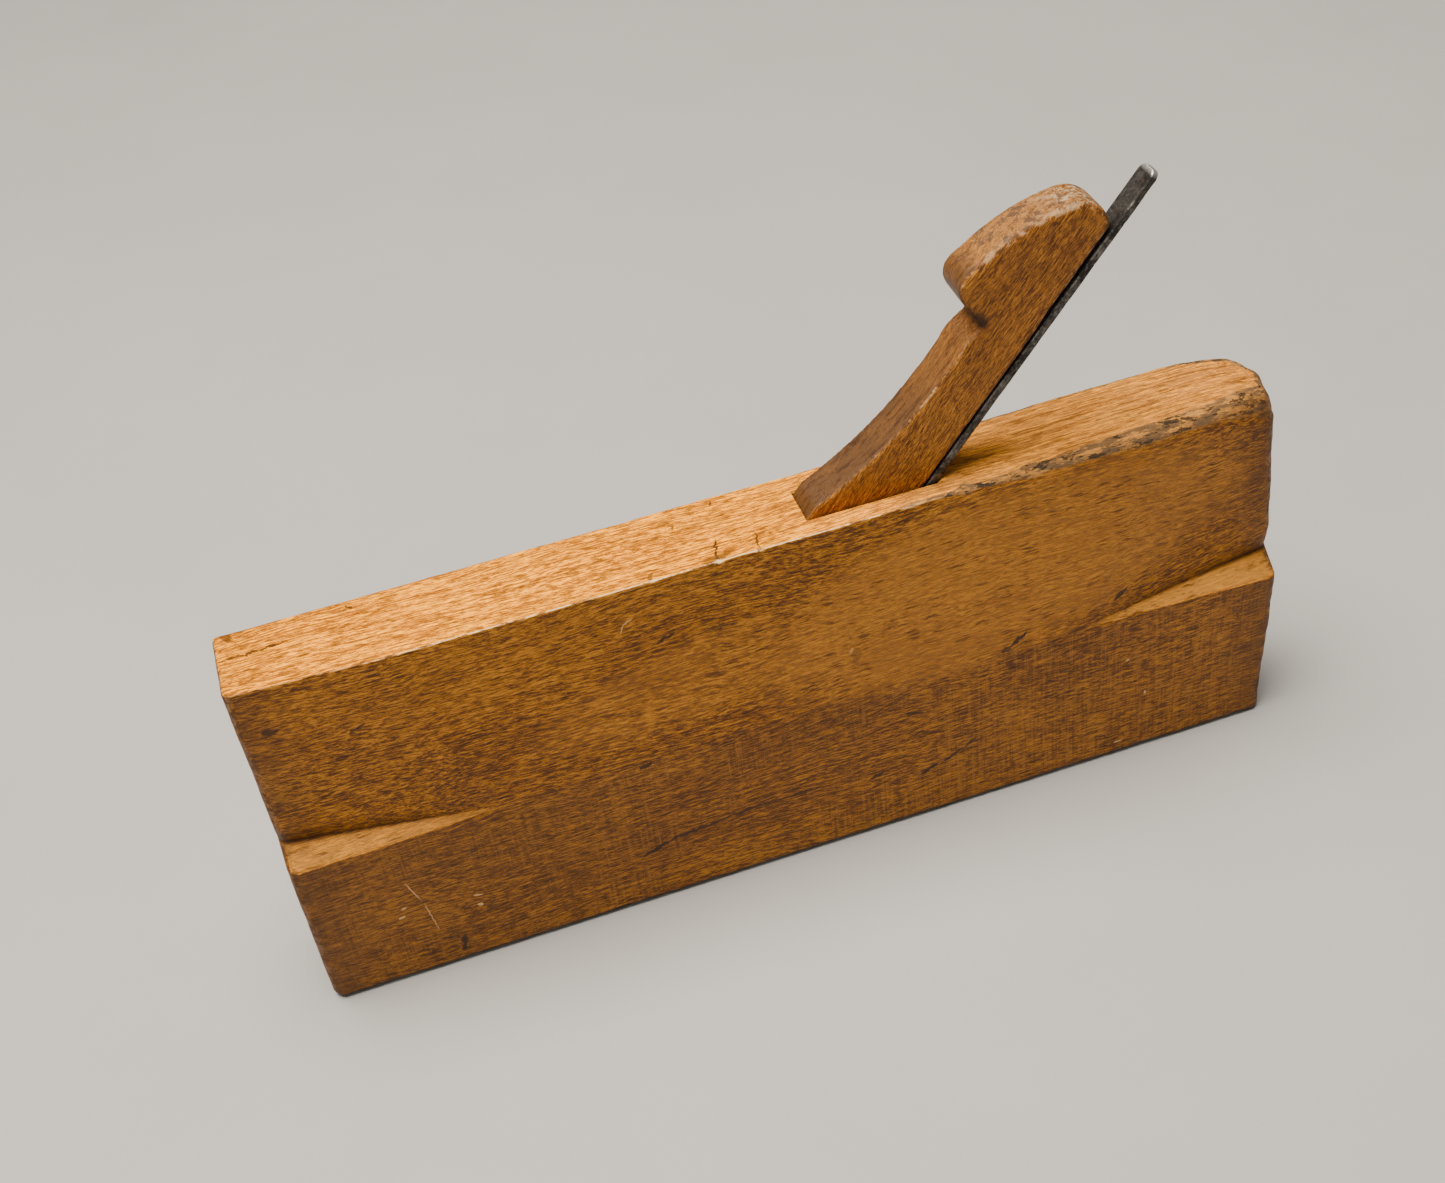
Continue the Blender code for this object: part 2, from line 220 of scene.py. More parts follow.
def lattice_lines():
    """The lattice's lines along each axis, with one just inside the hollow and rows for the scoops."""
    xs = lines(0, LENGTH, LONG_CELL, True, True)
    edge = HOLLOW_NEAR + 0.5
    ys = np.concatenate((lines(0, edge, CELL, True), lines(edge, WIDTH, CELL, False, True)[1:]))
    zs = np.concatenate((
        lines(0, SCOOP_FOOT, CELL, True),
        np.linspace(SCOOP_FOOT, VALLEY_HEIGHT, SCOOP_LINES)[1:-1],
        lines(VALLEY_HEIGHT, HEIGHT, CELL, False, True),
    ))
    return xs, ys, zs


def lattice():
    """The surface of a box of lattice cells: the points (mm) and the quads."""
    xs, ys, zs = lattice_lines()
    shape = (len(xs), len(ys), len(zs))
    outside = np.zeros(shape, bool)
    for axis in range(3):
        for end in (0, -1):
            face = [slice(None)] * 3
            face[axis] = end
            outside[tuple(face)] = True
    ids = np.full(shape, -1)
    ids[outside] = np.arange(outside.sum())
    where = np.argwhere(outside)
    points = np.stack((xs[where[:, 0]], ys[where[:, 1]], zs[where[:, 2]]), axis=1)
    quads = []
    for axis in range(3):
        for end, flipped in ((0, axis != 1), (-1, axis == 1)):
            face = np.take(ids, end, axis=axis)
            ring = [face[:-1, :-1], face[1:, :-1], face[1:, 1:], face[:-1, 1:]]
            corners = np.stack([part.ravel() for part in ring], axis=1)
            quads.append(corners[:, ::-1] if flipped else corners)
    return points, np.concatenate(quads)


def from_end(station):
    return np.minimum(station, LENGTH - station)


def rise(height):
    """0 below the lean of the near side and 1 at the top."""
    return np.clip((height - LEAN_START) / (HEIGHT - LEAN_START), 0, 1)


def follow_scoops(points):
    """Slides the lattice rows so that one runs along each scoop's foot and one along its valley.

    Returns the height of both at each point, and how far the scoop has opened there.
    """
    share = np.clip(1 - from_end(points[:, 0]) / SCOOP_LENGTH, 0, 1)
    tip_foot = SCOOP_TIP - TIP_GAP / 2
    tip_valley = SCOOP_TIP + TIP_GAP / 2
    foot = tip_foot + (SCOOP_FOOT - tip_foot) * share
    valley = tip_valley + (VALLEY_HEIGHT - tip_valley) * share
    z = points[:, 2]
    below = z * foot / SCOOP_FOOT
    between = foot + (z - SCOOP_FOOT) / (VALLEY_HEIGHT - SCOOP_FOOT) * (valley - foot)
    above = valley + (z - VALLEY_HEIGHT) / (HEIGHT - VALLEY_HEIGHT) * (HEIGHT - valley)
    points[:, 2] = np.where(z < SCOOP_FOOT, below, np.where(z < VALLEY_HEIGHT, between, above))
    return foot, valley, share


def set_back(points, foot, valley, share):
    """How far the near side stands back from its lower face: the lean, the V scoops and the sweep above."""
    x, z = points[:, 0], points[:, 2]
    lean = LEAN_DEPTH * rise(z)
    reach = SCOOP_LENGTH + (CORNER_LENGTH - SCOOP_LENGTH) * rise(z)
    corner = np.clip(1 - from_end(x) / reach, 0, 1)
    upper = lean + (CORNER_DEPTH - lean) * corner
    upper = upper + VALLEY_EXTRA * share * np.clip(1 - (z - valley) / VALLEY_FADE, 0, 1)
    lean_valley = LEAN_DEPTH * rise(valley)
    deepest = lean_valley + (CORNER_DEPTH + VALLEY_EXTRA - lean_valley) * share
    flank = deepest * np.clip((z - foot) / (valley - foot), 0, 1)
    return np.where(z < valley, flank, upper)


def face_radius(face, gaps, nicks):
    """The mean radius of a face's arrises at each point; the closer an arris, the more it counts."""
    total, weights = 0.0, 0.0
    for pair, radius in ARRISES.items():
        if face in pair:
            other = pair[1] if pair[0] == face else pair[0]
            nearness = 1 / (gaps[other] + 0.5) ** 2
            total = total + nearness * (radius + (nicks if pair == ("near", "top") else 0))
            weights = weights + nearness
    return total / weights


def arris_radii(points):
    """Radii to round with along each axis, from the closest face on that axis, uneven with wear."""
    gaps = {
        "toe": points[:, 0],
        "heel": LENGTH - points[:, 0],
        "near": points[:, 1],
        "far": WIDTH - points[:, 1],
        "sole": points[:, 2],
        "top": HEIGHT - points[:, 2],
    }
    nicks = sum(depth * np.exp(-((points[:, 0] - station) / length) ** 2) for station, length, depth in NICKS)
    radii = []
    for low, high in (("toe", "heel"), ("near", "far"), ("sole", "top")):
        closer = gaps[low] < gaps[high]
        radii.append(np.where(closer, face_radius(low, gaps, nicks), face_radius(high, gaps, nicks)))
    radii, held = held_radii(points, np.stack(radii, axis=1), ARRISES["near", "top"] + nicks)
    wear = 1 + (0.28 * waves(points, 9.0, 1) + 0.20 * waves(points, 2.6, 2)) * (1 - 0.6 * held)
    return radii * wear[:, None]


def held_radii(points, radii, crisp):
    """Larger radii where hands hold the stock: the near top arris, then the heel's two top corners."""
    x, y, z = points.T
    high = smooth(z, HEIGHT - 34, HEIGHT - 12)
    held = smooth(x, THUMB_START, THUMB_START + 12) * high * (1 - smooth(y, 7, 16))
    thumb = crisp + THUMB_RADIUS * smooth(x, THUMB_START, HEEL_START)
    target = np.stack((np.full(len(x), ARRISES["heel", "near"]), thumb, thumb), axis=1)
    radii = radii + held[:, None] * (target - radii)
    end = smooth(x, HEEL_START, LENGTH) * high
    radii = radii + (end * (1 - smooth(y, 4, 14)))[:, None] * NEAR_CORNER
    return radii + (end * smooth(y, 12, 20))[:, None] * FAR_CORNER, np.maximum(held, end)


def rounded(points):
    """The box surface with every arris and corner rounded, and how much each point was in a rounding."""
    size = np.array((LENGTH, WIDTH, HEIGHT))
    radii = arris_radii(points)
    gap = np.minimum(points, size - points)
    over = np.maximum(0, 1 - gap / radii)
    reach = np.linalg.norm(over, axis=1)[:, None]
    new_gap = np.where(over > 0, radii * (1 - over / reach), gap)
    arris = np.sort(over, axis=1)[:, 1]
    made = np.where(points < size / 2, new_gap, size - new_gap)
    return made, arris


def scoop_shading(points, foot, valley, share):
    """How dark the painted shade in each scoop's valley is, and where its lower flank is, which is painted
    paler as lit from above.
    """
    near = points[:, 1] < 0.5
    above = points[:, 2] - valley
    shade_above = 0.75 * np.exp(-above / 2.4) + 0.25 * np.exp(-above / 0.5)
    shade_below = 0.55 * np.exp(above / 0.35) + 0.45 * np.exp(above / 1.7)
    crease = share**0.4 * np.where(above > 0, shade_above, shade_below) * near
    on_flank = (above < -0.01) & (points[:, 2] > foot + 0.01) & near
    return crease, share**0.25 * on_flank


def hollow_sole(made):
    middle = (HOLLOW_NEAR + HOLLOW_FAR) / 2
    half = (HOLLOW_FAR - HOLLOW_NEAR) / 2
    hollow = HOLLOW_RISE * np.clip(1 - ((made[:, 1] - middle) / half) ** 2, 0, 1)
    made[:, 2] += hollow * (1 - smooth(made[:, 2], 0, HOLLOW_FADE))


def bend_top_and_heel(made):
    """The top stands a little higher at both ends and curves down to a heel that swells above its foot."""
    past = np.clip(made[:, 0] - CROWN_START, 0, None)
    lift = 0.55 * smooth(made[:, 0], 175, 200) + 0.2 * (1 - smooth(made[:, 0], 5, 60))
    fall = CROWN_RADIUS - np.sqrt(CROWN_RADIUS**2 - past**2)
    made[:, 2] += (lift - fall) * (made[:, 2] / HEIGHT) ** 3
    made[:, 0] += HEEL_SWELL * smooth(made[:, 0], 205, LENGTH) * smooth(made[:, 2], 2, 42)


def stock_mesh():
    points, quads = lattice()
    foot, valley, share = follow_scoops(points)
    back = set_back(points, foot, valley, share)
    crease, flank = scoop_shading(points, foot, valley, share)
    made, arris = rounded(points)
    made[:, 1] += back * (1 - smooth(points[:, 1], 3.5, WIDTH))
    hollow_sole(made)
    bend_top_and_heel(made)
    free = smooth(made[:, 2], 0.2, 9)[:, None]
    made += free * (0.16 * drift(points, 26, 10) + 0.045 * drift(points, 6, 20))
    mesh = bpy.data.meshes.new("stock_skin")
    mesh.from_pydata(to_row(made).tolist(), [], quads.tolist())
    add_attribute(mesh, "arris", arris)
    add_attribute(mesh, "crease", crease)
    add_attribute(mesh, "flank", flank)
    return mesh


def bed_point(along, forward, across):
    """A place given along the bed from its top, forward of it and across the stock, as metres."""
    start = Vector((STOCK_LOW.x + BED_TOP * MM, STOCK_LOW.y + across * MM, HEIGHT * MM))
    return start + (BED * along + BED_NORMAL * forward) * MM


def front_wall(along):
    """How far the mortise's front wall is from the bed, at a distance along it."""
    edge = (BED_TOP - MORTISE_FRONT) * math.sin(PITCH)
    edge_along = -(BED_TOP - MORTISE_FRONT) * math.cos(PITCH)
    return edge + math.tan(WEDGE_ANGLE) * (along - edge_along)


def mortise_cutter():
    low, high = -BED_LENGTH + MORTISE_FLOOR, MORTISE_ABOVE
    outline = [(low, 0), (high, 0), (high, front_wall(high)), (low, front_wall(low))]
    return hull("mortise_cut", [bed_point(a, f, y) for a, f in outline for y in (MORTISE_NEAR, MORTISE_FAR)])


def mortise_ease_cutter():
    """A small bevel round the mortise's mouth in the top."""
    spots = []
    for height, grow in ((-MORTISE_EASE, 0.0), (MORTISE_EASE_OUT, MORTISE_EASE_OUT)):
        for station in (MORTISE_FRONT - grow - height * 0.5, BED_TOP + grow + height * 0.8):
            for across in (MORTISE_NEAR - grow, MORTISE_FAR + grow):
                spots.append(to_row(np.array((station, across, HEIGHT + height))))
    return hull("mortise_ease", spots)


def throat_slice(across, radius, mouth, grow=0.0):
    """One section of the throat: from below the mouth along the bed, round the eye and back."""
    below = -BED_LENGTH - THROAT_BELOW
    centre = -BED_LENGTH + EYE_DISTANCE
    size = radius + grow
    turns = np.radians(np.linspace(*EYE_TURN, 40))
    ring = [(centre + size * math.cos(t), radius + size * math.sin(t)) for t in turns]
    outline = [(below, -grow), *ring, (below, mouth + grow)]
    return [bed_point(a, f, across) for a, f in outline]


def throat_cutters():
    """The throat, a tapered eye that opens to the far side, and the bevel round it there."""
    mouth = MOUTH_GAP * math.sin(PITCH)
    outside = WIDTH + PAST
    bevel = WIDTH - THROAT_EASE
    inner = throat_slice(CHEEK, INNER_EYE_RADIUS, mouth)
    outer = throat_slice(outside, EYE_RADIUS, mouth)
    radius = INNER_EYE_RADIUS + (EYE_RADIUS - INNER_EYE_RADIUS) * (bevel - CHEEK) / (outside - CHEEK)
    ease = throat_slice(bevel, radius, mouth) + throat_slice(outside, radius, mouth, PAST + THROAT_EASE)
    return [hull("throat_cut", inner + outer), hull("throat_ease", ease)]


def build_stock():
    stock = new_object("beech_stock", stock_mesh())
    cutters = [mortise_cutter(), mortise_ease_cutter(), *throat_cutters()]
    for cutter in cutters:
        cut = stock.modifiers.new(cutter.name, "BOOLEAN")
        cut.operation = "DIFFERENCE"
        cut.solver = "MANIFOLD"
        cut.object = cutter
    mesh = evaluated(stock)
    stock.modifiers.clear()
    stock.data = mesh
    for cutter in cutters:
        bpy.data.objects.remove(cutter, do_unlink=True)
    mesh.shade_smooth()
    mesh.set_sharp_from_angle(angle=math.radians(32))
    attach(stock, "stock")
    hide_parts("stock")
    return stock


# ---------------------------------------------------------------- wedge and iron

WEDGE_VOXEL = 0.42
IRON_VOXEL = 0.26

BED_FRAME = Matrix((BED, Vector((0, 1, 0)), BED_NORMAL)).transposed().to_4x4()
BED_FRAME.translation = bed_point(0, 0, 0)


def remeshed(node, voxel):
    """A CAD node's shape as an even, dense mesh in the bed's frame: X along it, Y across, Z forward (mm)."""
    rough = frame["nodes"][node].data.copy()
    rough.transform(Matrix.Scale(1 / MM, 4) @ BED_FRAME.inverted())
    helper = new_object(node + "_voxels", rough)
    remesh = helper.modifiers.new("voxels", "REMESH")
    remesh.mode = "VOXEL"
    remesh.voxel_size = voxel
    mesh = evaluated(helper)
    bpy.data.objects.remove(helper, do_unlink=True)
    return mesh


def relaxed(mesh, points, rounds, weight):
    """Points moved towards their neighbours' mean, as hands and years round off a worn piece."""
    pairs = np.empty(len(mesh.edges) * 2, np.int32)
    mesh.edges.foreach_get("vertices", pairs)
    first, second = pairs.reshape(-1, 2).T
    count = len(points)
    degree = np.bincount(first, minlength=count) + np.bincount(second, minlength=count)
    for step in range(rounds):
        active = (weight * rounds > step)[:, None]
        total = np.empty_like(points)
        for k in range(3):
            total[:, k] = np.bincount(first, points[second, k], count)
            total[:, k] += np.bincount(second, points[first, k], count)
        points = np.where(active, points + 0.5 * (total / degree[:, None] - points), points)
    return points


def finish_skin(name, mesh, points, body):
    """The piece made from a skin in the bed's frame (mm), with its points moved."""
    set_coordinates(mesh, points)
    mesh.transform(BED_FRAME @ Matrix.Scale(MM, 4))
    mesh.shade_smooth()
    skin = new_object(name, mesh)
    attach(skin, body)
    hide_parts(body)
    return skin


def mark_wedge(mesh, before):
    """Attributes for the wedge's grimy front and nose, its crown, the crown's pale end and the painted shade
    in its notch.

    The limits are distances along the bed above the top, and before holds the skin's first points.
    """
    along = before[:, 0]
    normals = vertex_normals(mesh)
    edgeways = 1 - smooth(np.abs(normals[:, 1]), 0.4, 0.8)
    forward = normals[:, 2]
    front = smooth(forward, 0.3, 0.6) * (1 - smooth(along, 31, 36)) * (1.1 - 0.5 * smooth(along, 2, 30))
    nose = smooth(along, 34, 37) * (1 - smooth(along, 43, 50))
    crown = edgeways * smooth(along, 43, 52) * smooth(forward, -0.2, 0.3)
    notch = np.exp(-(((along - 36.0) / 1.7) ** 2)) * smooth(before[:, 2], 13.4, 15.5)
    add_attribute(mesh, "front", edgeways * (front + 0.9 * nose))
    add_attribute(mesh, "crown", crown)
    add_attribute(mesh, "pale_end", crown * smooth(along, 57, 70))
    add_attribute(mesh, "notch", np.clip(1.1 * notch, 0, 0.9))


def build_wedge():
    mesh = remeshed("wedge", WEDGE_VOXEL)
    before = coordinates(mesh)
    along = before[:, 0]
    wear = 0.12 + 0.22 * smooth(along, -12, 20) - 0.18 * smooth(along, 26, 33) + 0.84 * smooth(along, 38, 46)
    wear = wear * (1 + 0.3 * waves(before, 5, 31))
    points = relaxed(mesh, before, 26, np.clip(wear, 0.1, 1))
    arris = np.linalg.norm(points - before, axis=1)
    free = smooth(along, -25, 0)[:, None]
    points += free * (0.10 * drift(before, 14, 40) + 0.03 * drift(before, 3, 50))
    add_attribute(mesh, "arris", np.clip(arris / 0.35, 0, 1))
    mark_wedge(mesh, before)
    return finish_skin("beech_wedge", mesh, points, "wedge")


def build_iron():
    mesh = remeshed("iron", IRON_VOXEL)
    before = coordinates(mesh)
    along = before[:, 0]
    low = along.min()
    crisp = smooth(along, low, low + 30)
    points = relaxed(mesh, before, 5, 0.2 + 0.8 * crisp)
    arris = np.linalg.norm(points - before, axis=1)
    pits = np.clip(waves(before, 0.9, 61) - 0.35, 0, 1)
    dents = np.clip(waves(before, 3.2, 62) - 0.3, 0, 1)
    inward = np.sign(before[:, 2] - before[:, 2].mean())
    points[:, 2] -= crisp * inward * (0.16 * pits + 0.16 * dents)
    points[:, 1] += crisp * 0.12 * waves(before, 6, 63)
    add_attribute(mesh, "arris", np.clip(arris / 0.12, 0, 1))
    add_attribute(mesh, "ground", 1 - smooth(along, low + 5, low + 9))
    add_attribute(mesh, "burr", smooth(along, along.max() - 1.6, along.max() - 0.4))
    return finish_skin("forged_iron", mesh, points, "iron")


# ---------------------------------------------------------------- materials

class Pattern:
    """Builds one material's nodes. Values are plain numbers, tuples or the outputs of other nodes."""

    def __init__(self, name):
        self.material = bpy.data.materials.new(name)
        self.material.use_nodes = True
        self.tree = self.material.node_tree
        self.shader = self.tree.nodes["Principled BSDF"]

    def node(self, kind, inputs, **settings):
        made = self.tree.nodes.new("ShaderNode" + kind)
        for name, value in settings.items():
            setattr(made, name, value)
        for name, value in inputs.items():
            self.plug(made.inputs[name], value)
        return made

    def plug(self, socket, value):
        if isinstance(value, bpy.types.NodeSocket):
            self.tree.links.new(value, socket)
        else:
            socket.default_value = value

    def millimetres(self):
        """The place on the piece, in millimetres from its own origin."""
        place = self.node("TexCoord", {}).outputs["Object"]
        return self.vector("MULTIPLY", place, (1 / MM,) * 3)

    def vector(self, operation, a, b):
        return self.node("VectorMath", {0: a, 1: b}, operation=operation).outputs[0]

    def turned(self, vector, angle):
        """The vector turned about Y."""
        turn = {"Vector": vector, "Axis": (0, 1, 0), "Angle": angle}
        return self.node("VectorRotate", turn).outputs[0]

    def math(self, operation, a, b=0.0, clamp=False):
        return self.node("Math", {0: a, 1: b}, operation=operation, use_clamp=clamp).outputs[0]

    def times(self, *factors):
        """The product of two or more values."""
        product = factors[0]
        for factor in factors[1:]:
            product = self.math("MULTIPLY", product, factor)
        return product

    def split(self, vector):
        return self.node("SeparateXYZ", {0: vector}).outputs

    def attribute(self, name):
        return self.node("Attribute", {}, attribute_name=name).outputs["Fac"]

    def span(self, value, low, high, start=0.0, end=1.0):
        """start below low, end above high and an S curve between."""
        given = {"Value": value, "From Min": low, "From Max": high, "To Min": start, "To Max": end}
        return self.node("MapRange", given, interpolation_type="SMOOTHSTEP").outputs["Result"]

    def noise(self, vector, stretch, detail=2.0, roughness=0.5, colour=False):
        place = self.vector("MULTIPLY", vector, stretch)
        given = {"Vector": place, "Scale": 1.0, "Detail": detail, "Roughness": roughness}
        return self.node("TexNoise", given).outputs["Color" if colour else "Fac"]

    def cells(self, vector, stretch):
        place = self.vector("MULTIPLY", vector, stretch)
        return self.node("TexVoronoi", {"Vector": place, "Scale": 1.0, "Randomness": 1.0}).outputs

    def grey(self, value):
        """A colour whose channels are all the value, which may be above 1."""
        return self.node("CombineColor", {0: value, 1: value, 2: value}).outputs[0]

    def mix(self, factor, a, b, blend="MIX"):
        made = self.node("Mix", {}, data_type="RGBA", blend_type=blend)
        for socket, value in ((made.inputs[0], factor), (made.inputs[6], a), (made.inputs[7], b)):
            self.plug(socket, value)
        return made.outputs[2]

    def finish(self, **inputs):
        """Plugs values into the shader, its inputs named with _ for a space."""
        for name, value in inputs.items():
            self.plug(self.shader.inputs[name.replace("_", " ")], value)
        return self.material

    def bump(self, height, strength, distance):
        given = {"Height": height, "Strength": strength, "Distance": distance}
        return self.node("Bump", given).outputs[0]

    def facing(self, axis):
        """How much the surface faces along an axis, in the object's own frame."""
        normal = self.node("TexCoord", {}).outputs["Normal"]
        return self.split(normal)[axis]

    def marks(self, place, rows, on_top=False):
        """A mask of soft ellipses, each at a station and a height (on the top, an across value)."""
        total = 0.0
        for station, second, angle, length, width, strength in rows:
            turn = math.radians(angle)
            centre = (station - LENGTH / 2, second - WIDTH / 2 if on_top else second)
            lengthwise = (math.cos(turn) / length, math.sin(turn) / length)
            crosswise = (-math.sin(turn) / width, math.cos(turn) / width)
            squares = []
            for axis in (lengthwise, crosswise):
                direction = (*axis, 0) if on_top else (axis[0], 0, axis[1])
                inputs = {0: place, 1: direction}
                reach = self.node("VectorMath", inputs, operation="DOT_PRODUCT").outputs["Value"]
                reach = self.math("SUBTRACT", reach, centre[0] * axis[0] + centre[1] * axis[1])
                squares.append(self.times(reach, reach))
            inside = self.math("SUBTRACT", 1.0, self.math("ADD", *squares), clamp=True)
            soft = self.times(inside, 2 * strength)
            total = self.math("MAXIMUM", total, self.math("MINIMUM", soft, strength))
        return total


def rgb(red, green, blue):
    return (red, green, blue, 1.0)


# Wood of the stock and of the wedge: pale, middle and dark
STOCK_TONES = (rgb(0.44, 0.172, 0.012), rgb(0.255, 0.086, 0.0045), rgb(0.095, 0.027, 0.0015))
WEDGE_TONES = (rgb(0.42, 0.165, 0.022), rgb(0.290, 0.103, 0.013), rgb(0.135, 0.042, 0.006))

# The stock: its top, its near side, what years have left on it, and painted light and shade
# Painted light as well as tone: makes the top paler and more golden, partly for its worn wood and partly for
# the light from above
GOLDEN_AND_LIT_TOP = rgb(2.25, 2.15, 0.1)  # multiplies the wood's colour on the top
TOP_LINE = rgb(0.31, 0.108, 0.008)
TOP_BRIGHT = rgb(0.92, 0.40, 0.006)
TOP_DULL = rgb(0.52, 0.240, 0.066)
TOP_CRACK = rgb(0.13, 0.045, 0.008)
SAWN_PALE = rgb(0.38, 0.155, 0.022)
SAWN_DARK = rgb(0.10, 0.030, 0.003)
LOWER_BAND = rgb(0.095, 0.034, 0.003)
FLANK_PAINTED_LIGHT = rgb(0.60, 0.27, 0.05)
PAINTED_SHEEN = rgb(0.50, 0.200, 0.026)
FLECK = rgb(0.045, 0.012, 0.0012)
DENT = rgb(0.022, 0.010, 0.005)
SCRATCH = rgb(0.66, 0.40, 0.17)
RUBBED_AND_HIGHLIGHT = rgb(0.95, 0.66, 0.33)
GRIME = rgb(0.075, 0.032, 0.012)
HELD = rgb(0.36, 0.180, 0.055)
STAIN = rgb(0.075, 0.050, 0.030)
BLACK_STAIN = rgb(0.022, 0.018, 0.012)
END_GRAIN = rgb(0.175, 0.066, 0.008)
END_DARK = rgb(0.075, 0.024, 0.003)
VALLEY_PAINTED_SHADE = rgb(0.035, 0.012, 0.002)
FOOT_PAINTED_SHADOW = rgb(0.018, 0.008, 0.004)

# The wedge
FRONT_GRIME = rgb(0.090, 0.040, 0.012)
FRONT_STREAK = rgb(0.036, 0.014, 0.004)
CROWN_WEAR = rgb(0.185, 0.098, 0.034)
CROWN_PALE = rgb(0.42, 0.31, 0.19)
CROWN_CRACK = rgb(0.075, 0.032, 0.010)
CROWN_STAIN = rgb(0.070, 0.036, 0.018)
WEDGE_FLECK = rgb(0.055, 0.014, 0.0015)
WEDGE_RUBBED = rgb(0.40, 0.26, 0.135)
WEDGE_GRIME = rgb(0.060, 0.028, 0.012)
NOTCH_PAINTED_SHADE = rgb(0.022, 0.008, 0.003)

# The iron
SCALE_DARK = rgb(0.030, 0.027, 0.024)
SCALE_PALE = rgb(0.105, 0.098, 0.088)
PIT = rgb(0.022, 0.019, 0.017)
SPECK = rgb(0.21, 0.20, 0.185)
RUST = rgb(0.12, 0.055, 0.03)
WORN_STEEL = rgb(0.28, 0.27, 0.255)
GROUND_STEEL = rgb(0.46, 0.45, 0.43)

# The floor, near the plane and far from it
FLOOR_DARK = rgb(0.335, 0.33, 0.315)
FLOOR_PALE = rgb(0.385, 0.38, 0.365)
FLOOR_FAR = rgb(0.93, 0.92, 0.90)


def beech(pattern, place, tones, fine=1.0):
    """Beech wood along X of the given coordinates (mm): its colour, ray flecks, fibres and fine mottling.

    tones are the pale, middle and dark colours of the wood; fine makes the flecks and mottling smaller.
    """
    pale, middle, dark = tones
    wander = pattern.noise(place, (0.012, 0.03, 0.03), 2, colour=True)
    wander = pattern.vector("MULTIPLY", pattern.vector("ADD", wander, (-0.5, -0.5, -0.5)), (0, 9, 9))
    wavy = pattern.vector("ADD", place, wander)
    rings = pattern.noise(wavy, (0.004, 0.42, 0.025), 4, 0.6)
    fibres = pattern.noise(wavy, (0.06, 2.1, 1.7), 5, 0.72)
    mottle = pattern.noise(wavy, (0.36 * fine, 3.1 * fine, 3.1 * fine), 4, 0.80)
    patina = pattern.noise(place, (0.016, 0.03, 0.034), 4, 0.6)
    blotch = pattern.noise(place, (0.09, 0.13, 0.13), 3, 0.6)
    tone = 0.0
    for value, low, high, share in (
        (rings, 0.30, 0.70, 0.24),
        (fibres, 0.40, 0.60, 0.42),
        (mottle, 0.43, 0.57, 0.62),
        (patina, 0.35, 0.65, 0.18),
        (blotch, 0.35, 0.65, 0.08),
    ):
        tone = pattern.math("ADD", tone, pattern.times(pattern.span(value, low, high), share))
    colour = pattern.mix(pattern.span(tone, 0.30, 0.84), dark, middle)
    colour = pattern.mix(pattern.span(tone, 0.76, 1.24), colour, pale)
    grain = pattern.grey(pattern.span(mottle, 0.41, 0.59, 0.72, 1.26))
    colour = pattern.mix(1.0, colour, grain, "MULTIPLY")
    bend = pattern.noise(place, (0.30, 0.5, 0.5), 3, colour=True)
    dashes = pattern.vector("ADD", wavy, pattern.vector("MULTIPLY", bend, (0, 1.7, 1.7)))
    flecks = fleck_mask(pattern, dashes, (0.17 * fine, 0.5 * fine, 1.35 * fine), 0.42, 0.44)
    ticks = fleck_mask(pattern, dashes, (0.40 * fine, 0.9 * fine, 2.3 * fine), 0.40, 0.40)
    flecks = pattern.math("MAXIMUM", flecks, pattern.times(ticks, 0.65))
    flecks = pattern.times(flecks, pattern.span(blotch, 0.36, 0.60, 0.3, 1.0))
    return colour, flecks, fibres, mottle


def fleck_mask(pattern, vector, stretch, share, size):
    """Short dashes, one in some of the cells of a stretched lattice."""
    cell = pattern.cells(vector, stretch)
    chosen = pattern.math("GREATER_THAN", pattern.split(cell["Color"])[0], share)
    dash = pattern.span(cell["Distance"], size * 0.45, size, 1.0, 0.0)
    return pattern.times(dash, chosen)


def finish_wood(pattern, wood, dirty, roughness, specular):
    """Plugs in beech's colour, its roughness from clean to dirty, and a relief from its grain."""
    colour, flecks, fibres, mottle = wood
    height = pattern.math("ADD", pattern.times(fibres, 0.6), pattern.times(mottle, 0.5))
    height = pattern.math("SUBTRACT", height, pattern.times(flecks, 0.6))
    return pattern.finish(
        Base_Color=colour,
        Roughness=pattern.span(pattern.math("ADD", mottle, dirty), 0.3, 1.2, *roughness),
        Specular_IOR_Level=specular,
        Normal=pattern.bump(height, 0.5, 0.0004),
    )


# Marks on the near side of the stock: station, height, angle, half length, half width, darkness
SIDE_MARKS = [
    (6.7, 83.7, 0, 2.2, 1.2, 0.85),
    (24, 79, 25, 2.4, 0.5, 0.7),
    (82.8, 45.5, 15, 1.7, 0.8, 0.9),
    (174.5, 49.5, 36, 3.2, 0.6, 0.9),
    (171.5, 47.5, 15, 1.6, 0.8, 0.7),
    (201, 53.3, 38, 2.6, 0.6, 0.85),
    (147.5, 36, -20, 2.6, 0.5, 0.8),
    (151, 16, 28, 3.2, 0.6, 0.85),
    (157, 18, 30, 2.8, 0.5, 0.8),
    (161.5, 20.5, 35, 2.6, 0.5, 0.75),
    (82, 17.8, 22, 5.0, 0.6, 0.9),
    (91, 19.8, 8, 8, 0.55, 0.85),
    (104, 21.2, 3, 9, 0.5, 0.8),
    (117, 21.4, 0, 7, 0.4, 0.7),
    (103, 18.6, 5, 4.5, 0.5, 0.5),
    (137.5, 19, 18, 2.6, 0.5, 0.8),
    (113, 9, 0, 6, 0.6, 0.45),
    (32.5, 6.5, 75, 3.2, 0.6, 0.85),
    (30, 9.5, -20, 2.4, 0.5, 0.6),
    (92.5, 79.5, 12, 2.4, 0.6, 0.8),
    (105, 78.4, 0, 4.5, 1.0, 0.45),
    (135, 59, 80, 3.0, 1.3, 0.35),
]

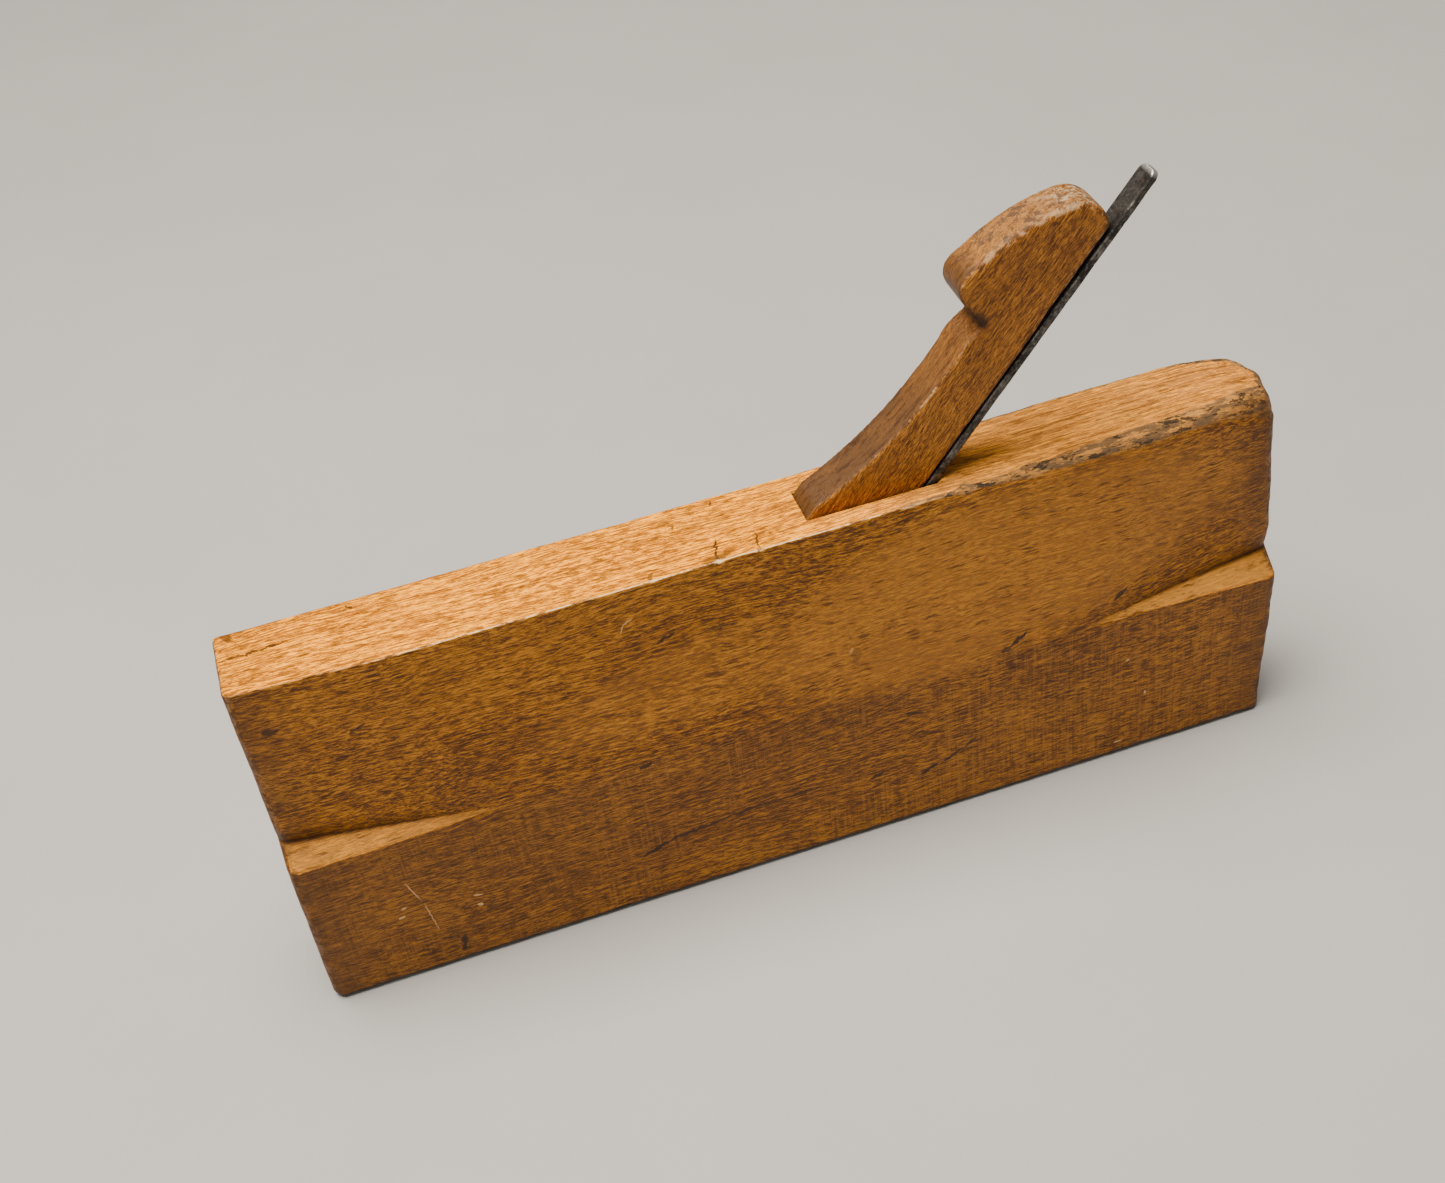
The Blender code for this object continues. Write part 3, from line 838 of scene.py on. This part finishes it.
# Marks on the top: station, across, angle, half length, half width, darkness
TOP_MARKS = [
    (8, 16.6, 2, 9, 0.35, 0.85),
    (6, 11.5, 0, 6, 0.25, 0.5),
    (3, 23.6, -60, 2.4, 1.2, 0.7),
    (29.5, 22.4, -60, 1.3, 0.35, 0.8),
    (92, 17, 20, 1.2, 0.9, 0.35),
    (107.5, 7.2, 82, 4.2, 0.3, 0.9),
    (107, 4.4, 10, 4.5, 1.3, 0.6),
    (116.5, 6.6, 80, 3.0, 0.3, 0.8),
    (92, 4.4, 60, 1.6, 0.7, 0.7),
    (101, 18.3, 80, 1.0, 0.4, 0.7),
    (111, 22.8, 80, 1.2, 0.4, 0.7),
]

# Brighter patches painted on the side as a sheen: station, height, angle, half length, half width, strength
SHEEN_PATCHES = [(172, 70, 8, 68, 26, 0.42), (95, 66, 10, 40, 12, 0.20)]

# Pale scratches and chips there: station, height, angle, half length, half width, strength
PALE_MARKS = [
    (24.6, 28.5, -72, 4.0, 0.20, 0.75),
    (27.0, 18.5, -82, 6.0, 0.17, 0.6),
    (21.5, 24, 15, 0.9, 0.35, 0.8),
    (20.5, 21.2, 15, 1.0, 0.4, 0.85),
    (38.5, 21, -15, 1.2, 0.35, 0.8),
    (38.5, 17.6, -25, 0.9, 0.5, 0.9),
    (85, 86.9, 25, 1.5, 0.22, 0.8),
    (83.6, 85.6, 65, 1.5, 0.2, 0.7),
    (203, 31.7, 20, 0.6, 0.35, 0.85),
    (208, 19, 80, 0.7, 0.3, 0.85),
    (201, 4.5, 0, 1.2, 0.3, 0.85),
    (134, 61, 60, 0.8, 0.5, 0.45),
]


def lower_band(pattern, place, colour, lower):
    """The near side's lower band: darker, with patches of fine upright streaks from the saw and plane."""
    saw = pattern.noise(place, (1.25, 0.4, 0.055), 4, 0.7)
    x = pattern.split(place)[0]
    patchy = pattern.span(pattern.noise(place, (0.045, 0.05, 0.05), 3, 0.6), 0.42, 0.60)
    patchy = pattern.math("MAXIMUM", patchy, pattern.span(x, 20, 60, 0.0, 0.9))
    sawn = pattern.times(lower, patchy)
    colour = pattern.mix(pattern.times(sawn, pattern.span(saw, 0.50, 0.62, 0.0, 0.5)), colour, SAWN_PALE)
    colour = pattern.mix(pattern.times(sawn, pattern.span(saw, 0.38, 0.48, 0.5, 0.0)), colour, SAWN_DARK)
    return pattern.mix(pattern.times(lower, pattern.span(x, -115, -20, 0.36, 0.12)), colour, LOWER_BAND)


def weathered_and_lit_top(pattern, place, colour, up, fibres):
    """The top: paler worn wood brightened further with painted light from above, and its open grain: brown
    lines along it, deeper and greyer towards the heel.
    """
    x = pattern.split(place)[0]
    # Painted light and worn tone: the up-facing top is multiplied paler and more golden
    colour = pattern.mix(up, colour, pattern.mix(1.0, colour, GOLDEN_AND_LIT_TOP, "MULTIPLY"))
    colour = pattern.mix(pattern.times(up, pattern.span(fibres, 0.38, 0.50, 0.65, 0.0)), colour, TOP_LINE)
    colour = pattern.mix(pattern.times(up, pattern.span(fibres, 0.54, 0.64, 0.0, 0.35)), colour, TOP_BRIGHT)
    colour = pattern.mix(pattern.times(up, pattern.span(x, -5, 45, 0.0, 0.45)), colour, TOP_DULL)
    cracks = pattern.span(pattern.noise(place, (0.06, 1.5, 0.6), 5, 0.82), 0.43, 0.47, 1.0, 0.0)
    cracks = pattern.times(up, pattern.span(x, -20, 70, 0.22, 0.80), cracks)
    return pattern.mix(cracks, colour, TOP_CRACK)


def torn(pattern, place, scale, reach):
    """Coordinates pushed about by noise, which turns smooth ellipses into ragged marks."""
    push = pattern.noise(place, (scale, scale, scale), 3, 0.65, colour=True)
    push = pattern.vector("SUBTRACT", push, (0.5, 0.5, 0.5))
    return pattern.vector("ADD", place, pattern.vector("MULTIPLY", push, (reach, reach, reach)))


def marked(pattern, place, colour, near, up):
    """Dents in the near side and the top, and pale scratches on the near side."""
    ragged = torn(pattern, place, 0.55, 2.4)
    dents = pattern.times(pattern.marks(ragged, SIDE_MARKS), near)
    dents = pattern.math("MAXIMUM", dents, pattern.times(pattern.marks(ragged, TOP_MARKS, True), up))
    colour = pattern.mix(dents, colour, DENT)
    scratches = pattern.times(pattern.marks(torn(pattern, place, 1.1, 0.7), PALE_MARKS), near)
    return pattern.mix(scratches, colour, SCRATCH)


def stock_material():
    pattern = Pattern("worn_beech_stock")
    place = pattern.millimetres()
    x, y, z = pattern.split(place)
    colour, flecks, fibres, mottle = beech(pattern, place, STOCK_TONES)
    up = pattern.span(pattern.facing(2), 0.55, 0.9)
    near = pattern.span(pattern.facing(1), -0.75, -0.35, 1.0, 0.0)
    near = pattern.times(near, pattern.span(y, -6, 2, 1, 0))
    colour = weathered_and_lit_top(pattern, place, colour, up, fibres)
    colour = lower_band(pattern, place, colour, pattern.times(near, pattern.span(z, 43, 49, 1.0, 0.0)))
    # Painted light: the scoops' lower flanks face up and are painted paler, as the light from above makes
    # them
    lit_flank = pattern.times(pattern.attribute("flank"), pattern.span(x, -60, 60, 0.5, 0.64))
    colour = pattern.mix(lit_flank, colour, FLANK_PAINTED_LIGHT)
    # Painted sheen: brighter patches on the near side
    colour = pattern.mix(pattern.times(pattern.marks(place, SHEEN_PATCHES), near), colour, PAINTED_SHEEN)
    colour = pattern.mix(pattern.times(flecks, pattern.span(up, 0, 1, 0.75, 0.45)), colour, FLECK)
    colour = marked(pattern, place, colour, near, up)
    colour, dirty = stock_wear_and_painted_light(pattern, place, colour, up)
    specular = pattern.span(up, 0, 1, 0.22, 0.06)
    return finish_wood(pattern, (colour, flecks, fibres, mottle), dirty, (0.40, 0.62), specular)


def stock_wear_and_painted_light(pattern, place, colour, up):
    """Rubbed arrises with a painted highlight, grimy arrises, stains from hands, dark ends, painted shade in
    the valleys and a painted shadow along the foot; also where it is dirty.
    """
    x, _, z = pattern.split(place)
    arris = pattern.attribute("arris")
    grime = pattern.noise(place, (0.20, 0.45, 0.45), 5, 0.7)
    # Worn wood and painted highlight: pale patches along the near top arris, for rubbing and for the light it
    # catches
    rubbed = pattern.times(
        pattern.span(arris, 0.4, 0.8),
        pattern.span(grime, 0.46, 0.56, 0.9, 0.15),
        pattern.span(z, 85, 93),
        pattern.span(x, 15, 45, 1.0, 0.0),
        pattern.span(x, -105, -65, 0.15, 1.0),
    )
    colour = pattern.mix(rubbed, colour, RUBBED_AND_HIGHLIGHT)
    dirty = pattern.times(pattern.span(arris, 0.05, 0.6), pattern.span(grime, 0.48, 0.60, 0, 0.7))
    colour = pattern.mix(dirty, colour, GRIME)
    colour, stain = held_arris(pattern, place, colour, arris)
    colour = dark_ends(pattern, place, colour, up, grime)
    # Painted shade: darkens the scoops' valleys and a soft band above them
    colour = pattern.mix(pattern.span(pattern.attribute("crease"), 0.0, 1.0, 0, 0.88), colour, VALLEY_PAINTED_SHADE)
    # Painted shadow: near black along the lowest 2 mm of the stock, where its rounded foot meets the floor
    colour = pattern.mix(pattern.span(z, 0.7, 2.2, 0.97, 0.0), colour, FOOT_PAINTED_SHADOW)
    return colour, pattern.math("MAXIMUM", dirty, stain)


def held_arris(pattern, place, colour, arris):
    """The top arrises from the iron back, dulled, stained and blackened by hands; also the stain's mask."""
    x, _, z = pattern.split(place)
    held = pattern.times(
        pattern.span(x, 27, 35),
        pattern.span(z, 80, 90),
        pattern.span(arris, 0.0, 0.12),
        pattern.span(pattern.facing(2), 0.2, 0.5),
    )
    colour = pattern.mix(pattern.times(held, 0.55), colour, HELD)
    stain = pattern.noise(place, (0.13, 0.55, 0.55), 5, 0.75)
    stain = pattern.times(held, pattern.span(stain, 0.47, 0.52, 0, 0.8))
    colour = pattern.mix(stain, colour, STAIN)
    black = pattern.noise(pattern.vector("ADD", place, (31, 7, 3)), (0.20, 0.5, 0.5), 5, 0.75)
    black = pattern.times(held, pattern.span(black, 0.525, 0.565, 0, 0.9))
    return pattern.mix(black, colour, BLACK_STAIN), stain


def dark_ends(pattern, place, colour, up, grime):
    """End grain with its darker rays, and the stock made darker in patches within 16 mm of each end, less so
    on the top.
    """
    half = LENGTH / 2
    end_face = pattern.span(pattern.math("ABSOLUTE", pattern.facing(0)), 0.6, 0.9)
    colour = pattern.mix(pattern.times(end_face, 0.6), colour, END_GRAIN)
    rays = pattern.span(pattern.noise(place, (0.3, 2.6, 0.16), 4, 0.7), 0.38, 0.50, 0.45, 0.0)
    colour = pattern.mix(pattern.times(end_face, rays), colour, END_DARK)
    ends = pattern.times(
        pattern.span(pattern.math("ABSOLUTE", pattern.split(place)[0]), half - 16, half - 1, 0, 0.55),
        pattern.span(grime, 0.35, 0.60, 0.45, 1.0),
        pattern.span(up, 0, 1, 1.0, 0.25),
    )
    return pattern.mix(ends, colour, END_DARK)


def wedge_material():
    pattern = Pattern("worn_beech_wedge")
    place = pattern.turned(pattern.millimetres(), PITCH)
    colour, flecks, fibres, mottle = beech(pattern, place, WEDGE_TONES, fine=1.5)
    colour = grimy_front_and_crown(pattern, place, colour)
    colour = pattern.mix(pattern.times(flecks, 0.45), colour, WEDGE_FLECK)
    colour, dirty = wedge_wear_and_notch_shade(pattern, place, colour)
    return finish_wood(pattern, (colour, flecks, fibres, mottle), dirty, (0.38, 0.6), 0.2)


def grimy_front_and_crown(pattern, place, colour):
    """The wedge's dark front and weathered crown, streaked and cracked along the grain."""
    front = pattern.attribute("front")
    crown = pattern.attribute("crown")
    grimy = pattern.span(pattern.noise(place, (0.06, 0.16, 0.16), 4, 0.6), 0.42, 0.56, 0.82, 0.98)
    colour = pattern.mix(pattern.times(front, grimy), colour, FRONT_GRIME)
    colour = pattern.mix(pattern.times(crown, 0.45), colour, CROWN_WEAR)
    grain = pattern.noise(place, (0.10, 0.9, 0.7), 5, 0.8)
    pale = pattern.times(pattern.span(grain, 0.50, 0.56, 0.0, 0.85), pattern.attribute("pale_end"))
    colour = pattern.mix(pale, colour, CROWN_PALE)
    streaks = pattern.times(pattern.span(grain, 0.40, 0.52, 0.75, 0.0), front)
    colour = pattern.mix(streaks, colour, FRONT_STREAK)
    cracks = pattern.times(pattern.span(grain, 0.40, 0.45, 0.75, 0.0), crown)
    return pattern.mix(cracks, colour, CROWN_CRACK)


def wedge_wear_and_notch_shade(pattern, place, colour):
    """Rubbed and grimy arrises, stains on the crown and painted shade in the notch; also where it is dirty.
    """
    arris = pattern.attribute("arris")
    crown = pattern.attribute("crown")
    grime = pattern.noise(place, (0.35, 0.45, 0.45), 5, 0.7)
    rubbed = pattern.times(
        pattern.span(arris, 0.35, 0.75),
        pattern.span(grime, 0.44, 0.50, 0.7, 0.0),
        pattern.span(crown, 0, 1, 1.0, 0.6),
    )
    colour = pattern.mix(rubbed, colour, WEDGE_RUBBED)
    dirty = pattern.times(pattern.span(arris, 0.1, 0.7), pattern.span(grime, 0.50, 0.60, 0, 0.8))
    colour = pattern.mix(dirty, colour, WEDGE_GRIME)
    stain = pattern.span(pattern.noise(place, (0.22, 0.3, 0.3), 5, 0.75), 0.525, 0.555, 0, 0.85)
    colour = pattern.mix(pattern.times(stain, crown), colour, CROWN_STAIN)
    # Painted shade: darkens the notch at the wedge's chin
    return pattern.mix(pattern.attribute("notch"), colour, NOTCH_PAINTED_SHADE), dirty


def iron_material():
    pattern = Pattern("forged_steel_dark")
    place = pattern.millimetres()
    blotch = pattern.noise(place, (0.22, 0.22, 0.22), 5, 0.65)
    pits = pattern.noise(place, (1.1, 1.1, 1.1), 4, 0.75)
    rust = pattern.noise(pattern.vector("ADD", place, (40, 7, 3)), (0.4, 0.4, 0.4), 5, 0.7)
    colour = pattern.mix(pattern.span(blotch, 0.35, 0.65), SCALE_DARK, SCALE_PALE)
    colour = pattern.mix(pattern.span(pits, 0.50, 0.60, 0, 0.7), colour, PIT)
    colour = pattern.mix(pattern.span(pits, 0.36, 0.46, 0.6, 0), colour, SPECK)
    colour = pattern.mix(pattern.span(rust, 0.56, 0.72, 0, 0.6), colour, RUST)
    worn = pattern.times(pattern.attribute("arris"), pattern.span(blotch, 0.4, 0.6))
    colour = pattern.mix(pattern.span(worn, 0.3, 0.9, 0, 0.7), colour, WORN_STEEL)
    bright = pattern.math("MAXIMUM", pattern.attribute("ground"), pattern.attribute("burr"))
    roughness = pattern.span(pits, 0.35, 0.65, 0.36, 0.62)
    return pattern.finish(
        Base_Color=pattern.mix(bright, colour, GROUND_STEEL),
        Metallic=0.85,
        Roughness=pattern.math("SUBTRACT", roughness, pattern.times(bright, 0.12)),
        Normal=pattern.bump(pattern.math("ADD", pits, blotch), 0.5, 0.0003),
    )


# ---------------------------------------------------------------- floor, light and camera

# The camera, fitted to the stock's edges in the photograph; its place is in metres
CAMERA_PLACE = Vector((-0.08041, -0.31439, 0.35741))
CAMERA_AZIMUTH = math.radians(12.336)
CAMERA_ELEVATION = math.radians(40.893)
CAMERA_ROLL = math.radians(-8.161)
CAMERA_LENS = 47.62
SENSOR_WIDTH = 36.0

FLOOR_HALF = 6.0  # the floor and the lights are in metres too
LIGHT_TARGET = Vector((0, 0, 0.05))


def build_floor():
    """A pale floor, paler far away so that it runs into the background."""
    half = FLOOR_HALF
    mesh = bpy.data.meshes.new("floor")
    corners = [(-half, -half, 0), (half, -half, 0), (half, half, 0), (-half, half, 0)]
    mesh.from_pydata(corners, [], [(0, 1, 2, 3)])
    floor = new_object("floor", mesh)
    pattern = Pattern("pale_floor")
    place = pattern.millimetres()
    cloud = pattern.noise(place, (0.012, 0.012, 0.012), 4, 0.6)
    distance = pattern.node("VectorMath", {0: place}, operation="LENGTH").outputs["Value"]
    colour = pattern.mix(cloud, FLOOR_DARK, FLOOR_PALE)
    colour = pattern.mix(pattern.span(distance, 500, 2600), colour, FLOOR_FAR)
    mesh.materials.append(pattern.finish(Base_Color=colour, Roughness=0.7))


def add_area_light(name, place, size, power, colour):
    light = bpy.data.lights.new(name, "AREA")
    light.shape = "DISK"
    light.size = size
    light.energy = power
    light.color = colour
    lamp = new_object(name, light)
    lamp.location = place
    lamp.rotation_euler = (LIGHT_TARGET - Vector(place)).to_track_quat("-Z", "Y").to_euler()


def build_light():
    """A soft key light overhead, a weak fill from the front and a pale, even sky."""
    add_area_light("key", (-0.20, 0.02, 1.2), 0.85, 42, (1.0, 0.93, 0.83))
    add_area_light("fill", (-0.9, -0.9, 0.9), 0.9, 3, (1.0, 0.94, 0.86))
    world = bpy.data.worlds.new("studio")
    world.use_nodes = True
    background = world.node_tree.nodes["Background"]
    background.inputs["Color"].default_value = (1.0, 0.95, 0.88, 1.0)
    background.inputs["Strength"].default_value = 0.22
    bpy.context.scene.world = world


def build_camera():
    level = math.cos(CAMERA_ELEVATION)
    forward = Vector((
        math.sin(CAMERA_AZIMUTH) * level,
        math.cos(CAMERA_AZIMUTH) * level,
        -math.sin(CAMERA_ELEVATION),
    ))
    side = forward.cross(Vector((0, 0, 1))).normalized()
    upright = side.cross(forward)
    right = side * math.cos(CAMERA_ROLL) + upright * math.sin(CAMERA_ROLL)
    up = right.cross(forward)
    lens = bpy.data.cameras.new("camera")
    lens.lens = CAMERA_LENS
    lens.sensor_width = SENSOR_WIDTH
    lens.clip_start = 0.01
    camera = new_object("camera", lens)
    turn = Matrix((right, up, -forward)).transposed().to_4x4()
    turn.translation = CAMERA_PLACE
    camera.matrix_world = turn
    bpy.context.scene.camera = camera


def paint(piece, material):
    """Gives a whole piece one material."""
    piece.data.materials.clear()
    piece.data.materials.append(material)
    piece.data.polygons.foreach_set("material_index", [0] * len(piece.data.polygons))


def main():
    paint(build_stock(), stock_material())
    paint(build_wedge(), wedge_material())
    paint(build_iron(), iron_material())
    build_floor()
    build_light()
    build_camera()


main()
